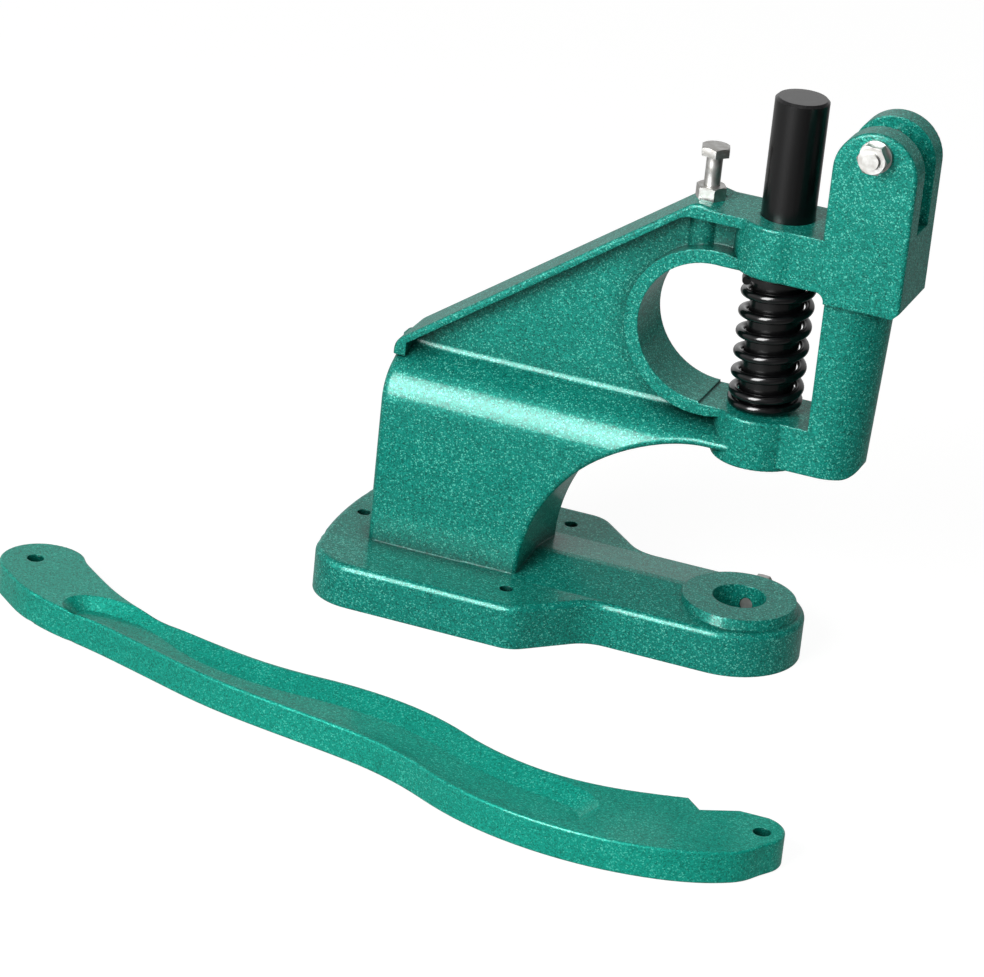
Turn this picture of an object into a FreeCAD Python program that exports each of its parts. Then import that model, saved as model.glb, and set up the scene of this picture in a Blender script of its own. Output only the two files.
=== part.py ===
import FreeCAD, Part
import math
import os
from FreeCAD import Placement, Rotation, Vector

# Hand eyelet machine: a cast frame with a sprung ram, its pivot and stop screws,
# and the hand lever, which lies loose on the table in front of the frame.
# Millimetres. X runs along the base towards the die end, Z is up, and the origin
# is on the table, on the axis of the ram and of the lower die bore.

# Base plate
base_back = 160.5
base_half_width = 49.5
base_thickness = 17.0
base_back_bow = 2.5
base_corner_radius = 20.0
base_front_radius = 12.0
base_front_x = -76.0
neck_radius = 16.0
neck_x = -42.0
nose_half_width = 27.0
nose_end_x = 25.0
base_edge_round = 2.5
ridge_rise = 3.6
ridge_crest_half = 1.5
pad_radius = 21.5
pad_rise = 4.0
die_bore_radius = 10.2
side_hole_x = -80.0
side_hole_spacing = 69.0
rear_hole_x = -152.0
base_hole_radius = 2.6

# Column, arch and shoulder
column_back_x = -142.0
column_half_width = 22.0
column_edge_round = 3.0
arch_foot_x = -81.5
arch_radius = 66.5
web_half = 5.0
crease_z = 94.7
crease_radius = 3.0
shoulder_radius = 15.8
shoulder_turn_deg = 60.0
root_depth = 5.0

# Arm, window and bosses
arm_half = 12.5
arm_top_z = 173.0
bar_thickness = 2.8
bar_slope_deg = 36.0
bar_back_z = 94.7
bar_corner_radius = 7.0
bar_crest_x = -31.5
bar_crest_radius = 8.0
bar_crest_foot_x = -22.0
back_flange = 5.0
top_flange = 4.2
casting_edge_round = 1.2
arch_edge_round = 1.6
boss_edge_round = 1.0
window_x = -21.3
window_z = 126.2
window_radius = 26.9
ring_width = 5.2
boss_wall = 8.0
lower_boss_bottom = 79.3
lower_boss_top = 98.5
upper_boss_bottom = 153.0

# Leg and fork
leg_inner_x = 21.5
leg_top_x = 44.0
leg_foot_x = 40.5
leg_half_width = 14.0
leg_foot_rise = 1.8
leg_inner_round = 3.5
leg_foot_round = 6.0
fork_half_width = 16.5
fork_front_x = 50.0
fork_back_x = 18.4
fork_bottom_z = 149.0
fork_slot_width = 13.4
fork_slot_floor_z = 178.5
fork_top_z = 216.6
pivot_below_top = 8.0

# Ram and its return spring
ram_radius = 10.0
ram_top_z = 218.4
ram_foot_drop = 2.8
ram_chamfer = 1.0
running_clearance = 0.05
punch_thread_radius = 3.4
punch_thread_depth = 16.0
clip_thickness = 1.5
clip_width = 3.2
clip_groove_depth = 0.8
clip_gap = 7.0
clip_lug_radius = 2.4
clip_lug_hole_radius = 0.9
washer_thickness = 1.6
washer_radius = 13.6
stop_gap = 0.3
seat_gap = 0.05
spring_wire = 3.4
spring_ram_gap = 0.4
spring_end_gap = 0.6
spring_foot_turns = 1.25
spring_active_turns = 5.0
spring_head_turns = 0.75
spring_start_deg = -161.0

# Fasteners
pivot_bolt_radius = 3.0
stop_screw_radius = 3.0
die_screw_radius = 2.5
hex_flats_per_radius = 10.0 / 3.0
hex_chamfer_deg = 30.0
head_height_per_radius = 1.15
nut_height_per_radius = 5.0 / 3.0
bolt_washer_radius = 6.0
bolt_washer_thickness = 1.6
bolt_end = 1.4
stop_screw_x = -30.0
stop_boss_radius = 7.0
stop_head_turn_deg = 49.0
stop_nut_seat_rise = 0.4
stop_screw_stand = 16.6
stop_screw_depth = 7.4
stop_nut_seat_radius = 6.6
stop_screw_travel_room = 8.0
die_screw_z = 13.5
die_screw_tip_gap = 0.1
die_screw_head_gap = 1.0

# Hand lever, laid on its side
lever_thickness = 12.0
lever_hole_radius = 3.2
lever_hole_spacing = 314.0
lever_pivot_x = 64.0
lever_pivot_y = -160.4
lever_angle_deg = 168.4
lever_pivot_eye_radius = 11.2
lever_pivot_eye_inset = 3.6
lever_hang_eye_radius = 16.5
lever_hang_eye_inset = 4.0
lever_rim = 1.6
lever_recess_depth = 4.0
lever_near_slope = 2.4
lever_end_slope = 5.0
lever_far_slope = 9.0
lever_edge_round = 0.8

# Lever edges: X is along from the pivot hole to the hanging hole, or back from the
# hanging hole where the name says before; Y is out from the line of the two holes
outer_heel_x = -0.8
outer_heel_y = 19.5
outer_back_x = 19.4
outer_back_y = 35.1
outer_crest_x = 75.0
outer_crest_y = 48.0
outer_waist_x = 149.0
outer_waist_y = 35.9
outer_swell_x = 194.0
outer_swell_y = 36.6
outer_grip_before = 57.5
outer_grip_y = 29.6
outer_end_before = 15.0
outer_end_y = 24.0
inner_toe_x = 32.3
inner_toe_y = -4.9
inner_rise_x = 53.6
inner_rise_y = 6.2
inner_crest_x = 86.0
inner_crest_y = 13.0
inner_waist_x = 147.0
inner_waist_y = 3.2
inner_swell_x = 212.0
inner_swell_y = 11.6
inner_grip_before = 46.5
inner_grip_y = 4.8
inner_end_before = 18.0
inner_end_y = -9.4
notch_foot_x = 14.0
notch_foot_y = -8.9
notch_root_x = 24.7
notch_root_y = 0.2
recess_back_x = 48.0
recess_end_before = 28.0
recess_end_y = 20.0
recess_turn_before = 44.0
recess_turn_y = 6.5

# Cuts run this far past the faces that they open
overcut = 1.0


def point(x, y=0.0, z=0.0):
    return Vector(x, y, z)


def heading(degrees):
    return polar(Vector(), 1, degrees)


def polar(centre, radius, degrees):
    angle = math.radians(degrees)
    return centre + Vector(radius * math.cos(angle), radius * math.sin(angle), 0)


def outline(start, steps):
    # A step is a point, for a straight run, or a pair of points, for an arc through the first.
    edges = []
    here = start
    for step in steps:
        if isinstance(step, tuple):
            edges.append(Part.Arc(here, step[0], step[1]).toShape())
            here = step[1]
        else:
            edges.append(Part.makeLine(here, step))
            here = step
    return Part.Wire(edges)


def tangent_arc(corner, back_along, on_along, radius):
    # Start, middle and end of the arc that rounds a corner between its two sides.
    half_angle = back_along.getAngle(on_along) / 2
    run = radius / math.tan(half_angle)
    inward = (back_along + on_along).normalize()
    centre = corner + inward * (radius / math.sin(half_angle))
    return corner + back_along * run, centre - inward * radius, corner + on_along * run


def corner_to_arc(start, corner, end):
    middle = (start + end) * 0.5
    outward = (corner - middle).normalize()
    chord = end - start
    half_turn = (corner - start).getAngle(chord)
    return Part.Arc(start, middle + outward * (chord.Length / 2 * math.tan(half_turn / 2)), end)


def biarc(start, start_way, end, end_way):
    # Two arcs that leave start along start_way and reach end along end_way.
    across = end - start
    ways = start_way + end_way
    spread = 2 * (1 - start_way.dot(end_way))
    along = across.dot(ways)
    if spread < 1e-9:
        run = across.dot(across) / (2 * along)
    else:
        run = (math.sqrt(along ** 2 + spread * across.dot(across)) - along) / spread
    meet = (start + end + (start_way - end_way) * run) * 0.5
    return [
        corner_to_arc(start, start + start_way * run, meet),
        corner_to_arc(meet, end - end_way * run, end),
    ]


def prism(wire, direction):
    return Part.Face(wire).extrude(direction)


def cylinder(radius, foot, height, axis=Vector(0, 0, 1)):
    return Part.makeCylinder(radius, height, foot, axis)


def box(low, high):
    size = high - low
    return Part.makeBox(size.x, size.y, size.z, low)


def side_profile(wire, half_width):
    # The wire lies in the XZ plane; the slab is centred on Y = 0.
    wire.translate(Vector(0, -half_width, 0))
    return prism(wire, Vector(0, 2 * half_width, 0))


def rounded(shape, radius, test):
    return shape.makeFillet(radius, [edge for edge in shape.Edges if test(edge)])


def hexagon(radius, foot, height, axis):
    # The radius is that of the thread; the size across flats goes with it.
    flat = hex_flats_per_radius * radius / 2
    corner = flat / math.cos(math.radians(30))
    corners = [polar(Vector(), corner, 60 * turn) for turn in range(7)]
    solid = prism(Part.makePolygon(corners), Vector(0, 0, height))
    flare = height / math.tan(math.radians(hex_chamfer_deg))
    solid = solid.common(Part.makeCone(flat + flare, flat, height))
    solid.Placement = Placement(foot, Rotation(Vector(0, 0, 1), axis))
    return solid


# Places that follow from the sizes

base_top = base_thickness
pad_top = base_top + pad_rise
nose_centre_x = nose_end_x - nose_half_width
arch_centre = point(arch_foot_x + arch_radius, 0, base_top)
boss_radius = ram_radius + boss_wall
pivot_x = (fork_back_x + fork_front_x) / 2
pivot_z = fork_top_z - pivot_below_top
stop_nut_seat_z = arm_top_z + stop_nut_seat_rise
stop_screw_head_z = stop_nut_seat_z + stop_screw_stand
stop_screw_foot_z = stop_nut_seat_z - stop_screw_depth
ring_radius = window_radius + ring_width
bore_radius = ram_radius + running_clearance
ram_foot_z = lower_boss_bottom - ram_foot_drop
clip_top_z = upper_boss_bottom - stop_gap
washer_top_z = clip_top_z - clip_thickness - seat_gap
spring_top_z = washer_top_z - washer_thickness - seat_gap
spring_foot_z = lower_boss_top + seat_gap
spring_radius = ram_radius + spring_ram_gap + spring_wire / 2


def base_outline():
    bow_chord = base_half_width - base_corner_radius
    bow_radius = (bow_chord ** 2 + base_back_bow ** 2) / (2 * base_back_bow)
    bow_centre = point(bow_radius - base_back)
    reach = math.sqrt((bow_radius - base_corner_radius) ** 2 - bow_chord ** 2)
    corner = point(bow_centre.x - reach, bow_chord)
    bow_end_deg = 180 - math.degrees(math.asin(bow_chord / (bow_radius - base_corner_radius)))
    front = point(base_front_x, base_half_width - base_front_radius)
    neck = point(neck_x, nose_half_width + neck_radius)
    between = neck - front
    lean = math.acos((base_front_radius + neck_radius) / between.Length)
    turn_deg = math.degrees(math.atan2(between.y, between.x) + lean)
    start = polar(corner, base_corner_radius, bow_end_deg)
    half = outline(start, [
        (polar(corner, base_corner_radius, (bow_end_deg + 90) / 2), polar(corner, base_corner_radius, 90)),
        polar(front, base_front_radius, 90),
        (polar(front, base_front_radius, (90 + turn_deg) / 2), polar(front, base_front_radius, turn_deg)),
        polar(neck, neck_radius, turn_deg + 180),
        (polar(neck, neck_radius, (turn_deg + 450) / 2), polar(neck, neck_radius, 270)),
        point(nose_centre_x, nose_half_width),
    ])
    mirrored = half.mirror(Vector(), Vector(0, 1, 0))
    nose = Part.Arc(point(nose_centre_x, nose_half_width), point(nose_end_x),
                    point(nose_centre_x, -nose_half_width))
    bow = Part.Arc(start, point(-base_back), point(start.x, -start.y))
    return Part.Wire(Part.__sortEdges__(half.Edges + mirrored.Edges + [nose.toShape(), bow.toShape()]))


def base_plate():
    plate = prism(base_outline(), Vector(0, 0, base_thickness))
    return rounded(plate, base_edge_round, lambda edge: edge.BoundBox.ZMin > base_thickness - 0.01)


def nose_ridge():
    # A low roof from the column to the pad, with a blunt crest.
    half = nose_half_width - base_edge_round
    start_x = arch_foot_x - column_half_width
    crest = base_top + ridge_rise
    section = Part.makePolygon([
        point(start_x, -half, base_top),
        point(start_x, -ridge_crest_half, crest),
        point(start_x, ridge_crest_half, crest),
        point(start_x, half, base_top),
        point(start_x, -half, base_top),
    ])
    return prism(section, Vector(-start_x, 0, 0))


def nose_pad():
    foot_radius = min(nose_half_width, nose_end_x) - base_edge_round
    return Part.makeCone(foot_radius, pad_radius, pad_rise, point(0, 0, base_top))


def shoulder_section():
    # Across the column: upright sides, a rounded shoulder, a sloping ledge, and a hollow up to the web.
    side = column_half_width
    turned = math.radians(shoulder_turn_deg)
    meet_y = side - shoulder_radius * (1 - math.cos(turned))
    corner_z = crease_z - crease_radius * math.tan(turned / 2)
    meet_z = corner_z - (meet_y - web_half) / math.tan(turned)
    spring_line = meet_z - shoulder_radius * math.sin(turned)
    half_turn = turned / 2
    on_shoulder = point(0, side - shoulder_radius * (1 - math.cos(half_turn)),
                        spring_line + shoulder_radius * math.sin(half_turn))
    start = point(0, side, spring_line)
    meet = point(0, meet_y, meet_z)
    outward = Vector(0, math.sin(turned), -math.cos(turned))
    hollow = tangent_arc(point(0, web_half, corner_z), outward, Vector(0, 0, 1), crease_radius)
    half = outline(start, [(on_shoulder, meet), hollow[0], (hollow[1], hollow[2])])
    mirrored = half.mirror(Vector(), Vector(0, 1, 0))
    foot = base_top - root_depth
    crease = hollow[2]
    closing = [
        Part.makeLine(crease, point(0, -crease.y, crease.z)),
        Part.makeLine(start, point(0, start.y, foot)),
        Part.makeLine(point(0, -start.y, start.z), point(0, -start.y, foot)),
        Part.makeLine(point(0, start.y, foot), point(0, -start.y, foot)),
    ]
    return Part.Wire(Part.__sortEdges__(half.Edges + mirrored.Edges + closing))


def column_and_arch():
    section = shoulder_section()
    section.translate(Vector(column_back_x, 0, 0))
    long_mass = prism(section, Vector(-column_back_x, 0, 0))
    foot = base_top - root_depth
    roof = crease_z + overcut
    crown = arch_centre + Vector(0, 0, arch_radius)
    mid = arch_centre + Vector(-arch_radius, 0, arch_radius) * math.sqrt(0.5)
    side = outline(point(column_back_x, 0, foot), [
        point(column_back_x, 0, roof),
        point(0, 0, roof),
        point(0, 0, crown.z),
        crown,
        (mid, point(arch_foot_x, 0, base_top)),
        point(arch_foot_x, 0, foot),
        point(column_back_x, 0, foot),
    ])
    mass = long_mass.common(side_profile(side, column_half_width + overcut))
    mass = rounded(mass, column_edge_round, lambda edge: (
        edge.BoundBox.XMax < column_back_x + 0.01 and edge.BoundBox.ZLength > 10
        and edge.BoundBox.YLength < 0.01))
    return rounded(mass, arch_edge_round, on_arch_edge)


def on_arch_edge(edge):
    # True for the arch's upright edges on both sides of the column.
    middle = edge.valueAt((edge.FirstParameter + edge.LastParameter) / 2)
    radius = math.hypot(middle.x - arch_centre.x, middle.z - arch_centre.z)
    upright = abs(middle.y) > column_half_width - 0.01 and middle.z > base_top
    return upright and abs(radius - arch_radius) < 0.01


def bar_height(x, inset):
    # The top of the sloping bar above x, or a line set in below it.
    slope = math.radians(bar_slope_deg)
    return bar_back_z + (x - column_back_x) * math.tan(slope) - inset / math.cos(slope)


def arm_outline():
    slope = math.radians(bar_slope_deg)
    uphill = Vector(math.cos(slope), 0, math.sin(slope))
    foot = crease_z - root_depth
    corner = point(column_back_x, 0, bar_height(column_back_x, 0))
    crest = point(bar_crest_x, 0, bar_height(bar_crest_x, 0))
    level = point(bar_crest_foot_x, 0, arm_top_z)
    corner_arc = tangent_arc(corner, Vector(0, 0, -1), uphill, bar_corner_radius)
    crest_arc = tangent_arc(crest, -uphill, (level - crest).normalize(), bar_crest_radius)
    return outline(point(column_back_x, 0, foot), [
        corner_arc[0],
        (corner_arc[1], corner_arc[2]),
        crest_arc[0],
        (crest_arc[1], crest_arc[2]),
        level,
        point(0, 0, arm_top_z),
        point(0, 0, foot),
        point(column_back_x, 0, foot),
    ])


def pocket_outline():
    # The sunk side panels of the arm, under the bar and the flat top.
    slope = math.radians(bar_slope_deg)
    foot = crease_z - root_depth
    back = column_back_x + back_flange
    roof = arm_top_z - top_flange
    bend_x = back + (roof - bar_height(back, bar_thickness)) / math.tan(slope)
    downhill = Vector(-math.cos(slope), 0, -math.sin(slope))
    bend_arc = tangent_arc(point(bend_x, 0, roof), downhill, Vector(1, 0, 0), bar_crest_radius)
    return outline(point(back, 0, foot), [
        point(back, 0, bar_height(back, bar_thickness)),
        bend_arc[0],
        (bend_arc[1], bend_arc[2]),
        point(0, 0, roof),
        point(0, 0, foot),
        point(back, 0, foot),
    ])


def arm():
    solid = side_profile(arm_outline(), arm_half)
    solid = rounded(solid, casting_edge_round, lambda edge: (
        abs(abs(edge.BoundBox.YMin) - arm_half) < 0.01 and edge.BoundBox.YLength < 0.01
        and edge.BoundBox.ZMax > crease_z - root_depth + 0.01 and edge.BoundBox.XMax < -0.01))
    ring = cylinder(ring_radius, point(window_x, -arm_half, window_z), 2 * arm_half, Vector(0, 1, 0))
    screw_boss = cylinder(stop_boss_radius, point(stop_screw_x, 0, window_z), arm_top_z - window_z)
    pocket_half = (arm_half - web_half + overcut) / 2
    for side in (-1, 1):
        pocket = side_profile(pocket_outline(), pocket_half)
        pocket.translate(Vector(0, side * (web_half + pocket_half), 0))
        solid = solid.cut(pocket.cut([ring, screw_boss]))
    return solid


def bosses():
    lower = cylinder(boss_radius, point(0, 0, lower_boss_bottom), lower_boss_top - lower_boss_bottom)
    upper = cylinder(boss_radius, point(0, 0, upper_boss_bottom), arm_top_z - upper_boss_bottom)
    return [rounded(boss, boss_edge_round, lambda edge: edge.BoundBox.ZLength < 0.01)
            for boss in (lower, upper)]


def leg_plan(front_x, z):
    side = leg_half_width
    round_x = front_x - side
    return outline(point(0, -side, z), [
        point(round_x, -side, z),
        (point(front_x, 0, z), point(round_x, side, z)),
        point(0, side, z),
        point(0, -side, z),
    ])


def leg():
    # It widens upwards, and its foot is rounded towards the front.
    foot = lower_boss_bottom + leg_foot_rise
    top = fork_bottom_z + root_depth
    solid = Part.makeLoft([leg_plan(leg_foot_x, foot), leg_plan(leg_top_x, top)], True, True)
    corner = point(leg_foot_x, 0, foot)
    up_front = (point(leg_top_x, 0, top) - corner).normalize()
    arc = tangent_arc(corner, Vector(-1, 0, 0), up_front, leg_foot_round)
    outer = outline(arc[0], [(arc[1], arc[2]), corner, arc[0]])
    return solid.cut(side_profile(outer, leg_half_width + overcut))


def fork():
    radius = (fork_front_x - fork_back_x) / 2
    crown = point(pivot_x, 0, fork_top_z - radius)
    step = fork_half_width - leg_half_width
    side = outline(point(0, 0, fork_bottom_z), [
        point(0, 0, arm_top_z),
        point(fork_back_x, 0, arm_top_z),
        point(fork_back_x, 0, crown.z),
        (point(pivot_x, 0, fork_top_z), point(fork_front_x, 0, crown.z)),
        point(fork_front_x, 0, fork_bottom_z + step),
        point(fork_front_x - step, 0, fork_bottom_z),
        point(0, 0, fork_bottom_z),
    ])
    solid = side_profile(side, fork_half_width)
    solid = rounded(solid, casting_edge_round, lambda edge: (
        edge.BoundBox.YLength < 0.01 and edge.BoundBox.XMin > fork_back_x - 0.01
        and edge.BoundBox.ZMax > arm_top_z + 0.01))
    slot = box(point(fork_back_x - overcut, -fork_slot_width / 2, fork_slot_floor_z),
               point(fork_front_x + overcut, fork_slot_width / 2, fork_top_z + overcut))
    return solid.cut(slot)


def window():
    # The round window, and the gap that it opens into between the bosses, up to the leg.
    reach = boss_radius + overcut
    along = Vector(0, 1, 0)
    round_part = cylinder(window_radius, point(window_x, -reach, window_z), 2 * reach, along)
    gap = box(point(window_x, -reach, lower_boss_top), point(leg_inner_x, reach, upper_boss_bottom))
    gap = rounded(gap, leg_inner_round, lambda edge: (
        edge.BoundBox.XMin > leg_inner_x - 0.01 and edge.BoundBox.YLength > 1
        and edge.BoundBox.ZMin > window_z))
    web_foot = box(point(window_x, -reach, lower_boss_top - window_radius),
                   point(0, reach, lower_boss_top))
    gap = gap.cut(web_foot.cut(round_part))
    return round_part.fuse(gap)


def frame_holes():
    screw_foot = stop_screw_foot_z - stop_screw_travel_room
    pivot_start = point(pivot_x, -fork_half_width - overcut, pivot_z)
    base_places = [
        point(side_hole_x, -side_hole_spacing / 2, -overcut),
        point(side_hole_x, side_hole_spacing / 2, -overcut),
        point(rear_hole_x, 0, -overcut),
    ]
    holes = [cylinder(base_hole_radius, place, base_top + 2 * overcut) for place in base_places]
    return holes + [
        cylinder(die_bore_radius, point(0, 0, -overcut), pad_top + 2 * overcut),
        cylinder(bore_radius, point(0, 0, lower_boss_bottom - overcut),
                 arm_top_z - lower_boss_bottom + 2 * overcut),
        cylinder(stop_screw_radius + running_clearance, point(stop_screw_x, 0, screw_foot),
                 stop_nut_seat_z - screw_foot + overcut),
        cylinder(stop_nut_seat_radius, point(stop_screw_x, 0, stop_nut_seat_z), bar_crest_radius),
        cylinder(die_screw_radius + running_clearance, point(0, 0, die_screw_z),
                 base_half_width, Vector(0, 1, 0)),
        cylinder(pivot_bolt_radius + running_clearance, pivot_start,
                 2 * (fork_half_width + overcut), Vector(0, 1, 0)),
    ]


def frame_casting():
    upper = arm().fuse(bosses() + [leg(), fork()]).cut(window())
    body = base_plate().fuse([nose_ridge(), nose_pad(), column_and_arch(), upper])
    return body.cut(frame_holes()).removeSplitter()


def ram():
    height = ram_top_z - ram_foot_z
    solid = cylinder(ram_radius, point(0, 0, ram_foot_z), height)
    solid = solid.makeChamfer(ram_chamfer, [edge for edge in solid.Edges if edge.BoundBox.ZLength < 0.01])
    groove_foot = point(0, 0, clip_top_z - clip_thickness - running_clearance)
    groove_height = clip_thickness + 2 * running_clearance
    groove = cylinder(ram_radius + overcut, groove_foot, groove_height)
    groove = groove.cut(cylinder(ram_radius - clip_groove_depth, groove_foot, groove_height))
    thread = cylinder(punch_thread_radius, point(0, 0, ram_foot_z), punch_thread_depth)
    return solid.cut([groove, thread])


def retaining_clip():
    # An open ring in the ram's groove, with a lug at each side of its gap.
    inner = ram_radius - clip_groove_depth + running_clearance
    foot = clip_top_z - clip_thickness
    through = clip_thickness + 2 * overcut
    lug_centre = inner + clip_lug_radius
    lug_angle = math.degrees(math.asin((clip_gap / 2 + clip_lug_radius) / lug_centre))
    ring = cylinder(ram_radius + clip_width, point(0, 0, foot), clip_thickness)
    lugs = [polar(point(0, 0, foot), lug_centre, 90 + side * lug_angle) for side in (-1, 1)]
    ring = ring.fuse([cylinder(clip_lug_radius, lug, clip_thickness) for lug in lugs])
    opening = box(point(-clip_gap / 2, 0, foot - overcut),
                  point(clip_gap / 2, ram_radius + 2 * clip_width, foot + clip_thickness + overcut))
    holes = [cylinder(clip_lug_hole_radius, lug - Vector(0, 0, overcut), through) for lug in lugs]
    return ring.cut([cylinder(inner, point(0, 0, foot - overcut), through), opening] + holes)


def spring_washer():
    foot = washer_top_z - washer_thickness
    disc = cylinder(washer_radius, point(0, 0, foot), washer_thickness)
    return disc.cut(cylinder(bore_radius, point(0, 0, foot), washer_thickness))


def spring_path():
    # Heights are set at each quarter turn: close-wound ends and an evenly pitched middle.
    end_pitch = spring_wire + spring_end_gap
    low = spring_foot_z + spring_wire / 2
    high = spring_top_z - spring_wire / 2
    end_rise = end_pitch * (spring_foot_turns + spring_head_turns)
    pitch = (high - low - end_rise) / spring_active_turns
    quarters = round(4 * (spring_foot_turns + spring_active_turns + spring_head_turns))
    nodes = []
    for quarter in range(quarters + 1):
        turn = quarter / 4
        climb = min(turn, spring_foot_turns) * end_pitch
        climb += max(0, min(turn - spring_foot_turns, spring_active_turns)) * pitch
        climb += max(0, turn - spring_foot_turns - spring_active_turns) * end_pitch
        nodes.append(polar(point(0, 0, low + climb), spring_radius, spring_start_deg + 90 * quarter))
    ways = []
    for quarter in range(quarters + 1):
        way = heading(spring_start_deg + 90 * quarter + 90)
        if 0 < quarter < quarters:
            rise = (nodes[quarter + 1].z - nodes[quarter - 1].z) / (spring_radius * math.pi)
            way = (way + Vector(0, 0, rise)).normalize()
        ways.append(way)
    pieces = [Part.makeLine(nodes[0] - ways[0] * spring_wire, nodes[0])]
    for quarter in range(quarters):
        arcs = biarc(nodes[quarter], ways[quarter], nodes[quarter + 1], ways[quarter + 1])
        pieces += [arc.toShape() for arc in arcs]
    pieces.append(Part.makeLine(nodes[-1], nodes[-1] + ways[-1] * spring_wire))
    return Part.Wire(pieces)


def least_gap(path):
    # Between points of the path that are further apart along it than half a turn.
    step = 1.0
    points = path.discretize(Distance=step)
    apart = int(math.pi * spring_radius / step)
    nearest = min(
        (a - b).Length
        for index, a in enumerate(points)
        for b in points[index + apart:]
    )
    return nearest - spring_wire


def return_spring():
    path = spring_path()
    start = path.Edges[0].Vertexes[0].Point
    way = (path.Edges[0].Vertexes[1].Point - start).normalize()
    section = Part.Wire(Part.makeCircle(spring_wire / 2, start, way))
    print("spring: least gap to itself", round(least_gap(path), 2), "mm")
    return path.makePipeShell([section], True, False)


def hex_bolt(radius, under_head, length, out):
    # out is the way the head faces; the shank runs back from under_head.
    shank = cylinder(radius, under_head - out * length, length, out)
    return shank.fuse(hexagon(radius, under_head, head_height_per_radius * radius, out))


def nut(radius, seat, out):
    height = nut_height_per_radius * radius
    return hexagon(radius, seat, height, out).cut(cylinder(radius + running_clearance, seat, height, out))


def pivot_bolt():
    seat = point(pivot_x, fork_half_width + bolt_washer_thickness, pivot_z)
    nut_height = nut_height_per_radius * pivot_bolt_radius
    length = 2 * (fork_half_width + bolt_washer_thickness) + nut_height + bolt_end
    return hex_bolt(pivot_bolt_radius, seat, length, Vector(0, 1, 0))


def pivot_nut():
    seat = point(pivot_x, -fork_half_width - bolt_washer_thickness, pivot_z)
    return nut(pivot_bolt_radius, seat, Vector(0, -1, 0))


def pivot_washers():
    rings = []
    for side in (-1, 1):
        seat = point(pivot_x, side * fork_half_width, pivot_z)
        out = Vector(0, side, 0)
        disc = cylinder(bolt_washer_radius, seat, bolt_washer_thickness, out)
        hole = cylinder(pivot_bolt_radius + running_clearance, seat, bolt_washer_thickness, out)
        rings.append(disc.cut(hole))
    return Part.makeCompound(rings)


def stop_screw():
    under_head = point(stop_screw_x, 0, stop_screw_head_z)
    length = stop_screw_head_z - stop_screw_foot_z
    screw = hex_bolt(stop_screw_radius, under_head, length, Vector(0, 0, 1))
    screw.rotate(under_head, Vector(0, 0, 1), stop_head_turn_deg)
    return screw


def stop_locknut():
    return nut(stop_screw_radius, point(stop_screw_x, 0, stop_nut_seat_z), Vector(0, 0, 1))


def die_clamp_screw():
    # Its tip stands just short of the die bore, ready to bear on a die's shank.
    tip = die_bore_radius + die_screw_tip_gap
    under_head = point(0, nose_half_width + die_screw_head_gap, die_screw_z)
    return hex_bolt(die_screw_radius, under_head, under_head.y - tip, Vector(0, 1, 0))


# The lever's edges, as places and headings from the pivot hole towards the hanging hole.
# The outer edge is the convex one.

def before_hang(distance, y):
    return point(lever_hole_spacing - distance, y)


def lever_outer_edge():
    return [
        (point(outer_heel_x, outer_heel_y), 50),
        (point(outer_back_x, outer_back_y), 27),
        (point(outer_crest_x, outer_crest_y), 0),
        (point(outer_waist_x, outer_waist_y), 0),
        (point(outer_swell_x, outer_swell_y), 0),
        (before_hang(outer_grip_before, outer_grip_y), -8),
        (before_hang(outer_end_before, outer_end_y), -17),
    ]


def lever_inner_edge():
    return [
        (point(inner_toe_x, inner_toe_y), 30),
        (point(inner_rise_x, inner_rise_y), 23),
        (point(inner_crest_x, inner_crest_y), 0),
        (point(inner_waist_x, inner_waist_y), 0),
        (point(inner_swell_x, inner_swell_y), 0),
        (before_hang(inner_grip_before, inner_grip_y), -19),
        (before_hang(inner_end_before, inner_end_y), -30),
    ]


def smooth_run(places):
    edges = []
    for (start, start_deg), (end, end_deg) in zip(places, places[1:]):
        edges += [arc.toShape() for arc in biarc(start, heading(start_deg), end, heading(end_deg))]
    return edges


def lever_outline():
    def pivot_eye(degrees):
        return polar(point(lever_pivot_eye_inset), lever_pivot_eye_radius, degrees)
    def hang_eye(degrees):
        return polar(point(lever_hole_spacing - lever_hang_eye_inset), lever_hang_eye_radius, degrees)
    outer = [(pivot_eye(160), 70)] + lever_outer_edge() + [(hang_eye(60), -30)]
    inner = lever_inner_edge() + [(hang_eye(-105), -15)]
    hang_end = Part.Arc(hang_eye(60), hang_eye(-20), hang_eye(-105))
    pivot_end = Part.Arc(pivot_eye(160), pivot_eye(215), pivot_eye(-90))
    notch = outline(pivot_eye(-90), [point(notch_foot_x, notch_foot_y), point(notch_root_x, notch_root_y),
                                     inner[0][0]])
    edges = smooth_run(outer) + smooth_run(inner) + notch.Edges
    return Part.Wire(Part.__sortEdges__(edges + [hang_end.toShape(), pivot_end.toShape()]))


def recess_outline(near_inset, end_inset, far_inset, z):
    # The sunk panel follows both edges of the lever, set in by the rim and the sloping walls.
    near = [(place, degrees, near_inset) for place, degrees in lever_outer_edge()[2:-1]]
    far = [(place, degrees + 180, far_inset) for place, degrees in reversed(lever_inner_edge()[2:-2])]
    ends = [
        (before_hang(recess_end_before, recess_end_y), -85, end_inset),
        (before_hang(recess_turn_before, recess_turn_y), -172, end_inset),
    ]
    loop = [(place + heading(degrees - 90) * inset, degrees) for place, degrees, inset in near + ends + far]
    back_y = (loop[0][0].y + loop[-1][0].y) / 2
    loop += [(point(recess_back_x + end_inset, back_y), 90), loop[0]]
    return Part.Wire(smooth_run([(place + Vector(0, 0, z), degrees) for place, degrees in loop]))


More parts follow.
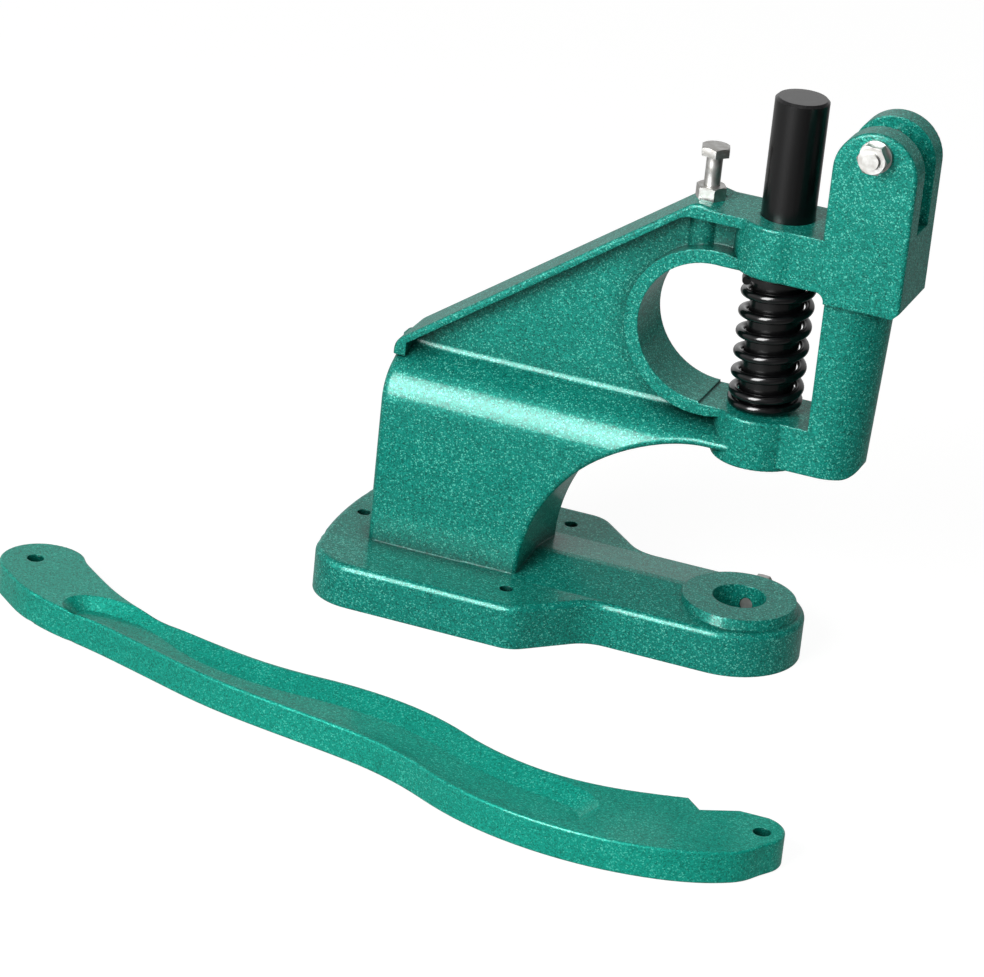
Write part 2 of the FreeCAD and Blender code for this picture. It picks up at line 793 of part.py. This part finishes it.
def recess():
    # A steep wall on the near, convex side and a long slope up to the far side.
    floor = recess_outline(lever_rim + lever_near_slope, lever_rim + lever_end_slope,
                           lever_rim + lever_far_slope, -lever_recess_depth)
    mouth = recess_outline(lever_rim, lever_rim, lever_rim, 0)
    return Part.makeLoft([floor, mouth], True, True)


def hand_lever():
    solid = prism(lever_outline(), Vector(0, 0, lever_thickness))
    solid = rounded(solid, lever_edge_round, lambda edge: edge.BoundBox.ZLength < 0.01)
    upper = recess()
    upper.translate(Vector(0, 0, lever_thickness))
    lower = recess().mirror(Vector(), Vector(0, 0, 1))
    holes = [cylinder(lever_hole_radius, point(x, 0, -overcut), lever_thickness + 2 * overcut)
             for x in (0, lever_hole_spacing)]
    solid = solid.cut([upper, lower] + holes)
    solid.Placement = Placement(point(lever_pivot_x, lever_pivot_y),
                                Rotation(Vector(0, 0, 1), lever_angle_deg))
    return solid


pieces = {
    "frame_casting": frame_casting,
    "ram": ram,
    "retaining_clip": retaining_clip,
    "spring_washer": spring_washer,
    "return_spring": return_spring,
    "pivot_bolt": pivot_bolt,
    "pivot_nut": pivot_nut,
    "pivot_washers": pivot_washers,
    "stop_screw": stop_screw,
    "stop_locknut": stop_locknut,
    "die_clamp_screw": die_clamp_screw,
    "hand_lever": hand_lever,
}

os.makedirs("parts", exist_ok=True)
for name, make in pieces.items():
    shape = make()
    shape.exportStep(f"parts/{name}.step")
    print(name, "valid" if shape.isValid() else "NOT VALID", len(shape.Solids), "solid(s),",
          round(shape.Volume / 1000, 2), "cm3")
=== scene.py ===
import bpy
import math
from mathutils import Matrix, Vector


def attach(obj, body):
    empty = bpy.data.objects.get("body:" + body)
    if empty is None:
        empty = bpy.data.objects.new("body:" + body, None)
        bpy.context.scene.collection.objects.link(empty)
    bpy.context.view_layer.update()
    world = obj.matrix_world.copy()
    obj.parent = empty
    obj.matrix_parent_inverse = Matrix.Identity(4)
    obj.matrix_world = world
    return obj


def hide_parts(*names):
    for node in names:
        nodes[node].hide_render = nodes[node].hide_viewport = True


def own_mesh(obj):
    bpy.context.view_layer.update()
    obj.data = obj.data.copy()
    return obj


# Hand eyelet machine: green cast frame and lever, blackened ram and spring, zinc plated bolts.
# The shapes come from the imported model; here they get their finishes, the light and the camera.

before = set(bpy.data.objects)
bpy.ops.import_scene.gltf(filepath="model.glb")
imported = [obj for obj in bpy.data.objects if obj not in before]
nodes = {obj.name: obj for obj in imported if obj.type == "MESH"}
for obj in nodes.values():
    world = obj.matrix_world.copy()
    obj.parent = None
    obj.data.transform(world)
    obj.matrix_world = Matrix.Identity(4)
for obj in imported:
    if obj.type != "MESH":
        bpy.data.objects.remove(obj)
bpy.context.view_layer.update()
print("frame loaded,", len(nodes), "nodes")


def toLinear(hexColour):
    # sRGB hex to the linear values that the shaders take
    linear = []
    for start in (1, 3, 5):
        value = int(hexColour[start:start + 2], 16) / 255
        linear.append(value / 12.92 if value <= 0.04045 else ((value + 0.055) / 1.055) ** 2.4)
    return (*linear, 1.0)


def addNode(tree, kind, settings=None, links=None):
    # settings: attribute or input name to value; links: input name to an output socket
    node = tree.nodes.new(kind)
    for name, value in (settings or {}).items():
        if isinstance(name, int) or name in node.inputs:
            node.inputs[name].default_value = value
        else:
            setattr(node, name, value)
    for name, socket in (links or {}).items():
        tree.links.new(socket, node.inputs[name])
    return node


def newMaterial(name):
    material = bpy.data.materials.new(name)
    material.use_nodes = True
    tree = material.node_tree
    tree.nodes.clear()
    output = addNode(tree, "ShaderNodeOutputMaterial")
    return material, tree, output


def setRamp(node, stops):
    ramp = node.color_ramp
    while len(ramp.elements) < len(stops):
        ramp.elements.new(0.5)
    for element, (position, colour) in zip(ramp.elements, stops):
        element.position = position
        element.color = colour


def grey(level):
    return (level, level, level, 1.0)


def noiseScale(sizeMm):
    return 1000 / sizeMm


def waveScale(periodMm):
    # A wave texture turns through 20 radians per unit of its scale
    return 2 * math.pi / 20 * 1000 / periodMm


# Camera, placed from the vanishing directions and ellipses of the photograph
cameraSetup = {
    "azimuthDeg": 19.02,
    "elevationDeg": 23.52,
    "rollDeg": 6.01,
    "distance": 1.896,
    "aimRight": 0.09034,
    "aimUp": -0.05927,
    "lensMm": 185.11,
    "sensorMm": 36,
    "nearestSeen": 0.05,
    "farthestSeen": 20,
}


def makeCamera(setup):
    azimuth = math.radians(setup["azimuthDeg"])
    elevation = math.radians(setup["elevationDeg"])
    roll = math.radians(setup["rollDeg"])
    back = Vector((math.sin(azimuth) * math.cos(elevation),
                   -math.cos(azimuth) * math.cos(elevation), math.sin(elevation)))
    level = Vector((math.cos(azimuth), math.sin(azimuth), 0))
    upright = back.cross(level)
    right = level * math.cos(roll) + upright * math.sin(roll)
    up = upright * math.cos(roll) - level * math.sin(roll)
    data = bpy.data.cameras.new("photoCamera")
    data.lens = setup["lensMm"]
    data.sensor_width = setup["sensorMm"]
    data.clip_start = setup["nearestSeen"]
    data.clip_end = setup["farthestSeen"]
    camera = bpy.data.objects.new("photoCamera", data)
    bpy.context.scene.collection.objects.link(camera)
    place = back * setup["distance"] - right * setup["aimRight"] - up * setup["aimUp"]
    turn = Matrix((right, up, back)).transposed().to_4x4()
    camera.matrix_world = Matrix.Translation(place) @ turn
    bpy.context.scene.camera = camera


makeCamera(cameraSetup)
print("camera placed")


# Hammer-finish alkyd enamel with aluminium flake, sprayed on cast iron: a fine light speckle
# in a deep green, under a glossy skin that pulls thin and round over every edge.
# The real flake is about 0.1 mm, too fine to show, so it is drawn as grains of 0.4 mm.
castingPaint = {
    "shadowColour": "#04564B",
    "deepColour": "#077669",
    "bodyColour": "#098779",
    "flakeColour": "#1DA492",
    "glintColour": "#66D2BF",
    "flakeMm": 0.42,
    "patchMm": 34.0,
    "patchShare": 0.14,
    "dimpleMm": 2.6,
    "dimpleDepthMm": 0.06,
    "flakeTiltMm": 0.035,
    "edgeRoundMm": 0.8,
    # painted shade in corners: how far it reaches and how dark it gets (with the next line)
    "paintedShadeReachMm": 11.0,
    "paintedCornerShade": 0.18,
    "metallic": 0.15,
    "roughness": 0.46,
    "specular": 0.06,
    "coatWeight": 0.3,
    "coatRoughness": 0.17,
}

# The same enamel put on thinner on the smooth lever: a brighter green with fewer pale grains
# and hardly any dimples.
leverPaint = {
    "shadowColour": "#067665",
    "deepColour": "#088D7B",
    "bodyColour": "#099F8B",
    "flakeColour": "#14AF98",
    "glintColour": "#4ACBB5",
    "flakeMm": 0.42,
    "patchMm": 26.0,
    "patchShare": 0.2,
    "dimpleMm": 4.0,
    "dimpleDepthMm": 0.03,
    "flakeTiltMm": 0.02,
    "edgeRoundMm": 0.7,
    # painted shade in corners: how far it reaches and how dark it gets (with the next line)
    "paintedShadeReachMm": 14.0,
    "paintedCornerShade": 0.25,
    "metallic": 0.15,
    "roughness": 0.42,
    "specular": 0.06,
    "coatWeight": 0.3,
    "coatRoughness": 0.13,
}


# How both coats are laid: where each colour starts among the grains, and how open a place has to be to lose
# the painted shade in corners (closedAt and openAt are shares of open sky within the corner distance).
enamelCoat = {
    "colourSteps": (0.0, 0.16, 0.55, 0.88, 1.0),
    "colours": ("shadowColour", "deepColour", "bodyColour", "flakeColour", "glintColour"),
    "patchDetail": 5.0,
    "patchRoughness": 0.65,
    "dimpleDetail": 2.0,
    "closedAt": 0.35,
    "openAt": 0.95,
    "paintedShadeSamples": 8,
    "edgeSamples": 4,
}


def makeHammerEnamel(name, paint, coat):
    material, tree, output = newMaterial(name)
    place = addNode(tree, "ShaderNodeTexCoord").outputs["Object"]
    flakes = addNode(tree, "ShaderNodeTexVoronoi", {"Scale": noiseScale(paint["flakeMm"])},
                     {"Vector": place})
    shade = addNode(tree, "ShaderNodeSeparateColor", links={"Color": flakes.outputs["Color"]})
    patches = addNode(tree, "ShaderNodeTexNoise",
                      {"Scale": noiseScale(paint["patchMm"]), "Detail": coat["patchDetail"],
                       "Roughness": coat["patchRoughness"]}, {"Vector": place})
    shift = addNode(tree, "ShaderNodeMath",
                    {"operation": "MULTIPLY_ADD", 1: 2 * paint["patchShare"], 2: -paint["patchShare"]},
                    {0: patches.outputs["Fac"]})
    level = addNode(tree, "ShaderNodeMath", {"operation": "ADD", "use_clamp": True},
                    {0: shade.outputs["Red"], 1: shift.outputs[0]})
    colour = addNode(tree, "ShaderNodeValToRGB", links={"Fac": level.outputs[0]})
    setRamp(colour, [(step, toLinear(paint[tone]))
                     for step, tone in zip(coat["colourSteps"], coat["colours"])])
    # Painted shade: corners and pockets get a deeper, duller base colour where little open sky is found
    # nearby, standing in for the shade that falls there
    paintedShadeOcclusion = addNode(tree, "ShaderNodeAmbientOcclusion",
                     {"samples": coat["paintedShadeSamples"], "only_local": True,
                      "Distance": paint["paintedShadeReachMm"] / 1000})
    paintedShadeLevel = addNode(tree, "ShaderNodeMapRange",
                       {"From Min": coat["closedAt"], "From Max": coat["openAt"],
                        "To Min": paint["paintedCornerShade"]}, {"Value": paintedShadeOcclusion.outputs["AO"]})
    colourWithPaintedShade = addNode(tree, "ShaderNodeMix", {"data_type": "RGBA", "blend_type": "MULTIPLY", "Factor": 1.0},
                     {"A": colour.outputs["Color"], "B": paintedShadeLevel.outputs[0]})
    rounding = addNode(tree, "ShaderNodeBevel",
                       {"samples": coat["edgeSamples"], "Radius": paint["edgeRoundMm"] / 1000})
    dimples = addNode(tree, "ShaderNodeTexNoise",
                      {"Scale": noiseScale(paint["dimpleMm"]), "Detail": coat["dimpleDetail"]},
                      {"Vector": place})
    dimpleBump = addNode(tree, "ShaderNodeBump",
                         {"Strength": 1.0, "Distance": paint["dimpleDepthMm"] / 1000},
                         {"Height": dimples.outputs["Fac"], "Normal": rounding.outputs["Normal"]})
    flakeBump = addNode(tree, "ShaderNodeBump",
                        {"Strength": 1.0, "Distance": paint["flakeTiltMm"] / 1000},
                        {"Height": shade.outputs["Green"], "Normal": dimpleBump.outputs["Normal"]})
    shader = addNode(tree, "ShaderNodeBsdfPrincipled",
                     {"Metallic": paint["metallic"], "Roughness": paint["roughness"],
                      "Specular IOR Level": paint["specular"],
                      "Coat Weight": paint["coatWeight"], "Coat Roughness": paint["coatRoughness"]},
                     {"Base Color": colourWithPaintedShade.outputs[2], "Normal": flakeBump.outputs["Normal"],
                      "Coat Normal": dimpleBump.outputs["Normal"]})
    tree.links.new(shader.outputs[0], output.inputs["Surface"])
    return material


# Black oxide on turned steel: near black, with faint upright streaks and a worn, greyer top face.
ramSteel = {
    "darkColour": "#060607",
    "paleColour": "#0E0E0F",
    "wornColour": "#222223",
    "streakMm": 1.4,
    "streakDetail": 3.0,
    "streakStretch": 0.04,
    "streakSteps": (0.35, 0.75),
    "scuffMm": 2.381,
    "scuffDetail": 5.0,
    "scuffSteps": (0.3, 0.65),
    "topFaceFrom": 0.6,
    "ringMm": 4.398,
    "ringWander": 0.6,
    "markDepthMm": 0.01,
    "markStrength": 0.6,
    "metallic": 0.0,
    "roughness": 0.25,
    "specular": 0.38,
}


def makeBlackOxide(name, steel):
    material, tree, output = newMaterial(name)
    place = addNode(tree, "ShaderNodeTexCoord").outputs["Object"]
    stretched = addNode(tree, "ShaderNodeMapping", {"Scale": (1.0, 1.0, steel["streakStretch"])},
                        {"Vector": place})
    streaks = addNode(tree, "ShaderNodeTexNoise",
                      {"Scale": noiseScale(steel["streakMm"]), "Detail": steel["streakDetail"]},
                      {"Vector": stretched.outputs[0]})
    side = addNode(tree, "ShaderNodeValToRGB", links={"Fac": streaks.outputs["Fac"]})
    darkTo, paleFrom = steel["streakSteps"]
    setRamp(side, [(darkTo, toLinear(steel["darkColour"])), (paleFrom, toLinear(steel["paleColour"]))])
    facing = addNode(tree, "ShaderNodeSeparateXYZ",
                     links={"Vector": addNode(tree, "ShaderNodeNewGeometry").outputs["True Normal"]})
    upward = addNode(tree, "ShaderNodeMath", {"operation": "GREATER_THAN", 1: steel["topFaceFrom"]},
                     {0: facing.outputs["Z"]})
    scuffs = addNode(tree, "ShaderNodeTexNoise",
                     {"Scale": noiseScale(steel["scuffMm"]), "Detail": steel["scuffDetail"]},
                     {"Vector": place})
    topColour = addNode(tree, "ShaderNodeValToRGB", links={"Fac": scuffs.outputs["Fac"]})
    paleTo, wornFrom = steel["scuffSteps"]
    setRamp(topColour, [(paleTo, toLinear(steel["paleColour"])), (wornFrom, toLinear(steel["wornColour"]))])
    colour = addNode(tree, "ShaderNodeMix", {"data_type": "RGBA"},
                     {"Factor": upward.outputs[0],
                      "A": side.outputs["Color"], "B": topColour.outputs["Color"]})
    rings = addNode(tree, "ShaderNodeTexWave",
                    {"wave_type": "RINGS", "rings_direction": "Z", "Scale": waveScale(steel["ringMm"]),
                     "Distortion": steel["ringWander"]}, {"Vector": place})
    marks = addNode(tree, "ShaderNodeMix", {"data_type": "FLOAT"},
                    {"Factor": upward.outputs[0], "A": streaks.outputs["Fac"], "B": rings.outputs["Fac"]})
    bump = addNode(tree, "ShaderNodeBump",
                   {"Strength": steel["markStrength"], "Distance": steel["markDepthMm"] / 1000},
                   {"Height": marks.outputs[0]})
    shader = addNode(tree, "ShaderNodeBsdfPrincipled",
                     {"Metallic": steel["metallic"], "Roughness": steel["roughness"],
                      "Specular IOR Level": steel["specular"]},
                     {"Base Color": colour.outputs[2], "Normal": bump.outputs["Normal"]})
    tree.links.new(shader.outputs[0], output.inputs["Surface"])
    return material


# Spring wire, drawn and then enamelled black: a wet gloss with faint, slightly greyer blotches.
springEnamel = {
    "colour": "#060607",
    "rubbedColour": "#141416",
    "blotchMm": 4.0,
    "blotchDetail": 6.0,
    "blotchSteps": (0.4, 0.8),
    "blotchDepthMm": 0.02,
    "blotchStrength": 0.5,
    "roughness": 0.17,
    "specular": 0.3,
    "coatWeight": 0.2,
    "coatRoughness": 0.06,
}


def makeSpringEnamel(name, enamel):
    material, tree, output = newMaterial(name)
    place = addNode(tree, "ShaderNodeTexCoord").outputs["Object"]
    blotches = addNode(tree, "ShaderNodeTexNoise",
                       {"Scale": noiseScale(enamel["blotchMm"]), "Detail": enamel["blotchDetail"]},
                       {"Vector": place})
    colour = addNode(tree, "ShaderNodeValToRGB", links={"Fac": blotches.outputs["Fac"]})
    blackTo, rubbedFrom = enamel["blotchSteps"]
    setRamp(colour, [(blackTo, toLinear(enamel["colour"])), (rubbedFrom, toLinear(enamel["rubbedColour"]))])
    bump = addNode(tree, "ShaderNodeBump",
                   {"Strength": enamel["blotchStrength"], "Distance": enamel["blotchDepthMm"] / 1000},
                   {"Height": blotches.outputs["Fac"]})
    shader = addNode(tree, "ShaderNodeBsdfPrincipled",
                     {"Metallic": 0.0, "Roughness": enamel["roughness"],
                      "Specular IOR Level": enamel["specular"],
                      "Coat Weight": enamel["coatWeight"], "Coat Roughness": enamel["coatRoughness"]},
                     {"Base Color": colour.outputs["Color"], "Normal": bump.outputs["Normal"]})
    tree.links.new(shader.outputs[0], output.inputs["Surface"])
    return material


# Bright zinc plate on steel fasteners: pale grey, with a soft mottled shine.
# The stop screw's plating also waves faintly along its length.
zincPlate = {
    "paleColour": "#B8B8B6",
    "dullColour": "#9E9C98",
    "mottleMm": 2.4,
    "mottleDetail": 4.0,
    "mottleSteps": (0.35, 0.65),
    "mottleDepthMm": 0.02,
    "mottleStrength": 0.4,
    "waveMm": 6.283,
    "waveDepthMm": 0.12,
    "roughness": 0.4,
}


def makeZincPlate(name, zinc, waved):
    material, tree, output = newMaterial(name)
    place = addNode(tree, "ShaderNodeTexCoord").outputs["Object"]
    mottle = addNode(tree, "ShaderNodeTexNoise",
                     {"Scale": noiseScale(zinc["mottleMm"]), "Detail": zinc["mottleDetail"]},
                     {"Vector": place})
    colour = addNode(tree, "ShaderNodeValToRGB", links={"Fac": mottle.outputs["Fac"]})
    dullTo, paleFrom = zinc["mottleSteps"]
    setRamp(colour, [(dullTo, toLinear(zinc["dullColour"])), (paleFrom, toLinear(zinc["paleColour"]))])
    bump = addNode(tree, "ShaderNodeBump",
                   {"Strength": zinc["mottleStrength"], "Distance": zinc["mottleDepthMm"] / 1000},
                   {"Height": mottle.outputs["Fac"]})
    if waved:
        wave = addNode(tree, "ShaderNodeTexWave",
                       {"wave_type": "BANDS", "bands_direction": "Z", "Scale": waveScale(zinc["waveMm"])},
                       {"Vector": place})
        bump = addNode(tree, "ShaderNodeBump", {"Strength": 1.0, "Distance": zinc["waveDepthMm"] / 1000},
                       {"Height": wave.outputs["Fac"], "Normal": bump.outputs["Normal"]})
    shader = addNode(tree, "ShaderNodeBsdfPrincipled", {"Metallic": 1.0, "Roughness": zinc["roughness"]},
                     {"Base Color": colour.outputs["Color"], "Normal": bump.outputs["Normal"]})
    tree.links.new(shader.outputs[0], output.inputs["Surface"])
    return material


hammerEnamel = makeHammerEnamel("hammerEnamelOnCastIron", castingPaint, enamelCoat)
leverEnamel = makeHammerEnamel("smoothEnamelOnCastIron", leverPaint, enamelCoat)
blackOxide = makeBlackOxide("blackOxideTurnedSteel", ramSteel)
springBlack = makeSpringEnamel("blackEnamelledSpringWire", springEnamel)
zincBolt = makeZincPlate("zincPlatedSteel", zincPlate, waved=False)
zincScrew = makeZincPlate("zincPlatedThread", zincPlate, waved=True)

finishes = {
    "frame_casting": hammerEnamel,
    "hand_lever": leverEnamel,
    "ram": blackOxide,
    "retaining_clip": blackOxide,
    "spring_washer": blackOxide,
    "return_spring": springBlack,
    "pivot_bolt": zincBolt,
    "pivot_nut": zincBolt,
    "pivot_washers": zincBolt,
    "stop_screw": zincScrew,
    "stop_locknut": zincBolt,
    "die_clamp_screw": zincBolt,
}
for name, finish in finishes.items():
    mesh = nodes[name].data
    mesh.materials.clear()
    mesh.materials.append(finish)
print("finishes on", len(finishes), "nodes")


# Return spring: the frame's own coil, redrawn as a copy with its own mesh and hung on the frame body
returnSpring = {
    "node": "return_spring",
    "body": "frame",
    "joint": "ram_slide",
    "slot": "spring_black",
}


def makeReturnSpring(spring):
    coil = bpy.data.objects.new("springCoil", nodes[spring["node"]].data.copy())
    bpy.context.scene.collection.objects.link(coil)
    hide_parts(spring["node"])
    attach(coil, spring["body"])
    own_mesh(coil)


makeReturnSpring(returnSpring)
print("return spring placed")


# Studio: pale floor and surroundings for the eye and for reflections, with a darker right side.
# The key stands in front and a little left; the tall strip beside it only shows in the gloss.
studio = {
    "floorSize": 12.0,
    "floorDrop": 0.0002,
    "floorColour": "#F4F4F2",
    "floorGlow": 1.16,
    "floorGlowShare": 0.8,
    "floorInMirrorsLeft": 0.5,
    "floorInMirrorsRight": 0.08,
    "floorInMirrorsFromTo": (-0.05, 0.35),
    "floorBounce": "#B4B4B2",
    "skyLevel": 0.15,
    "skyLeftLevel": 1.0,
    "skyRightLevel": 0.14,
    "skySideFromTo": (-0.1, 0.7),
    "skyTopShare": 0.25,
    "skyTopFromTo": (0.42, 0.8),
    "lamps": {
        "key": {"place": (-0.6, -1.5, 0.95), "aim": (-0.05, -0.03, 0.12), "size": (1.0, 0.9),
                "watts": 23.0},
        "right": {"place": (1.0, -1.1, 0.8), "aim": (0.0, 0.0, 0.12), "size": (0.8, 0.8), "watts": 4.5,
                  "mattOnly": True},
        "fill": {"place": (0.1, 0.1, 1.6), "aim": (-0.05, 0.0, 0.1), "size": (1.0, 1.0),
                 "watts": 2.0},
        "strip": {"place": (-0.65, -1.5, 0.84), "aim": (-0.08, -0.02, 0.08), "size": (0.8, 2.0),
                  "watts": 95.0, "glossOnly": True},
    },
}


def cleanRays(tree):
    # 1 for rays that come from the camera, a mirror or through glass, 0 for light that falls on things
    path = addNode(tree, "ShaderNodeLightPath")
    either = addNode(tree, "ShaderNodeMath", {"operation": "MAXIMUM"},
                     {0: path.outputs["Is Camera Ray"], 1: path.outputs["Is Glossy Ray"]})
    return addNode(tree, "ShaderNodeMath", {"operation": "MAXIMUM"},
                   {0: either.outputs[0], 1: path.outputs["Is Transmission Ray"]})


def makeFloor(setup):
    half = setup["floorSize"] / 2
    mesh = bpy.data.meshes.new("floor")
    corners = [(-half, -half, 0), (half, -half, 0), (half, half, 0), (-half, half, 0)]
    mesh.from_pydata(corners, [], [(0, 1, 2, 3)])
    floor = bpy.data.objects.new("floor", mesh)
    floor.location.z = -setup["floorDrop"]
    bpy.context.scene.collection.objects.link(floor)
    material, tree, output = newMaterial("paleStudioFloor")
    matt = addNode(tree, "ShaderNodeBsdfDiffuse", {"Color": toLinear(setup["floorColour"])})
    bounce = addNode(tree, "ShaderNodeBsdfDiffuse", {"Color": toLinear(setup["floorBounce"])})
    spot = addNode(tree, "ShaderNodeSeparateXYZ",
                   links={"Vector": addNode(tree, "ShaderNodeTexCoord").outputs["Object"]})
    left, right = setup["floorInMirrorsFromTo"]
    mirrorLevel = addNode(tree, "ShaderNodeMapRange",
                          {"From Min": left, "From Max": right, "To Min": setup["floorInMirrorsLeft"],
                           "To Max": setup["floorInMirrorsRight"]}, {"Value": spot.outputs["X"]})
    mirrored = addNode(tree, "ShaderNodeLightPath").outputs["Is Glossy Ray"]
    strength = addNode(tree, "ShaderNodeMix", {"data_type": "FLOAT", 2: setup["floorGlow"]},
                       {"Factor": mirrored, "B": mirrorLevel.outputs[0]})
    glow = addNode(tree, "ShaderNodeEmission", {"Color": grey(1.0)}, {"Strength": strength.outputs[0]})
    shown = addNode(tree, "ShaderNodeMixShader", {"Fac": setup["floorGlowShare"]},
                    {1: matt.outputs[0], 2: glow.outputs[0]})
    surface = addNode(tree, "ShaderNodeMixShader",
                      links={"Fac": cleanRays(tree).outputs[0], 1: bounce.outputs[0], 2: shown.outputs[0]})
    tree.links.new(surface.outputs[0], output.inputs["Surface"])
    mesh.materials.append(material)


def makeSky(setup):
    # White on the left and along the horizon, greyer to the right and overhead
    world = bpy.data.worlds.new("studioSky")
    bpy.context.scene.world = world
    world.use_nodes = True
    tree = world.node_tree
    tree.nodes.clear()
    output = addNode(tree, "ShaderNodeOutputWorld")
    way = addNode(tree, "ShaderNodeSeparateXYZ",
                  links={"Vector": addNode(tree, "ShaderNodeTexCoord").outputs["Generated"]})
    left, right = setup["skySideFromTo"]
    side = addNode(tree, "ShaderNodeMapRange",
                   {"From Min": left, "From Max": right,
                    "To Min": setup["skyLeftLevel"], "To Max": setup["skyRightLevel"]},
                   {"Value": way.outputs["X"]})
    low, high = setup["skyTopFromTo"]
    top = addNode(tree, "ShaderNodeMapRange",
                  {"From Min": low, "From Max": high, "To Min": 1.0, "To Max": setup["skyTopShare"]},
                  {"Value": way.outputs["Z"]})
    level = addNode(tree, "ShaderNodeMath", {"operation": "MULTIPLY"},
                    {0: side.outputs[0], 1: top.outputs[0]})
    soft = addNode(tree, "ShaderNodeBackground", {"Color": grey(1.0), "Strength": setup["skyLevel"]})
    white = addNode(tree, "ShaderNodeBackground", {"Color": grey(1.0)}, {"Strength": level.outputs[0]})
    both = addNode(tree, "ShaderNodeMixShader",
                   links={"Fac": cleanRays(tree).outputs[0], 1: soft.outputs[0], 2: white.outputs[0]})
    tree.links.new(both.outputs[0], output.inputs["Surface"])


def makeLamp(name, lamp):
    data = bpy.data.lights.new(name, "AREA")
    data.shape = "RECTANGLE"
    data.size, data.size_y = lamp["size"]
    data.energy = lamp["watts"]
    light = bpy.data.objects.new(name, data)
    light.location = lamp["place"]
    aim = Vector(lamp["aim"]) - Vector(lamp["place"])
    light.rotation_euler = aim.to_track_quat("-Z", "Y").to_euler()
    light.visible_diffuse = not lamp.get("glossOnly", False)
    light.visible_glossy = not lamp.get("mattOnly", False)
    bpy.context.scene.collection.objects.link(light)


makeFloor(studio)
makeSky(studio)
for lampName, lamp in studio["lamps"].items():
    makeLamp(lampName, lamp)
bpy.context.scene.view_settings.view_transform = "Standard"
print("studio lit")
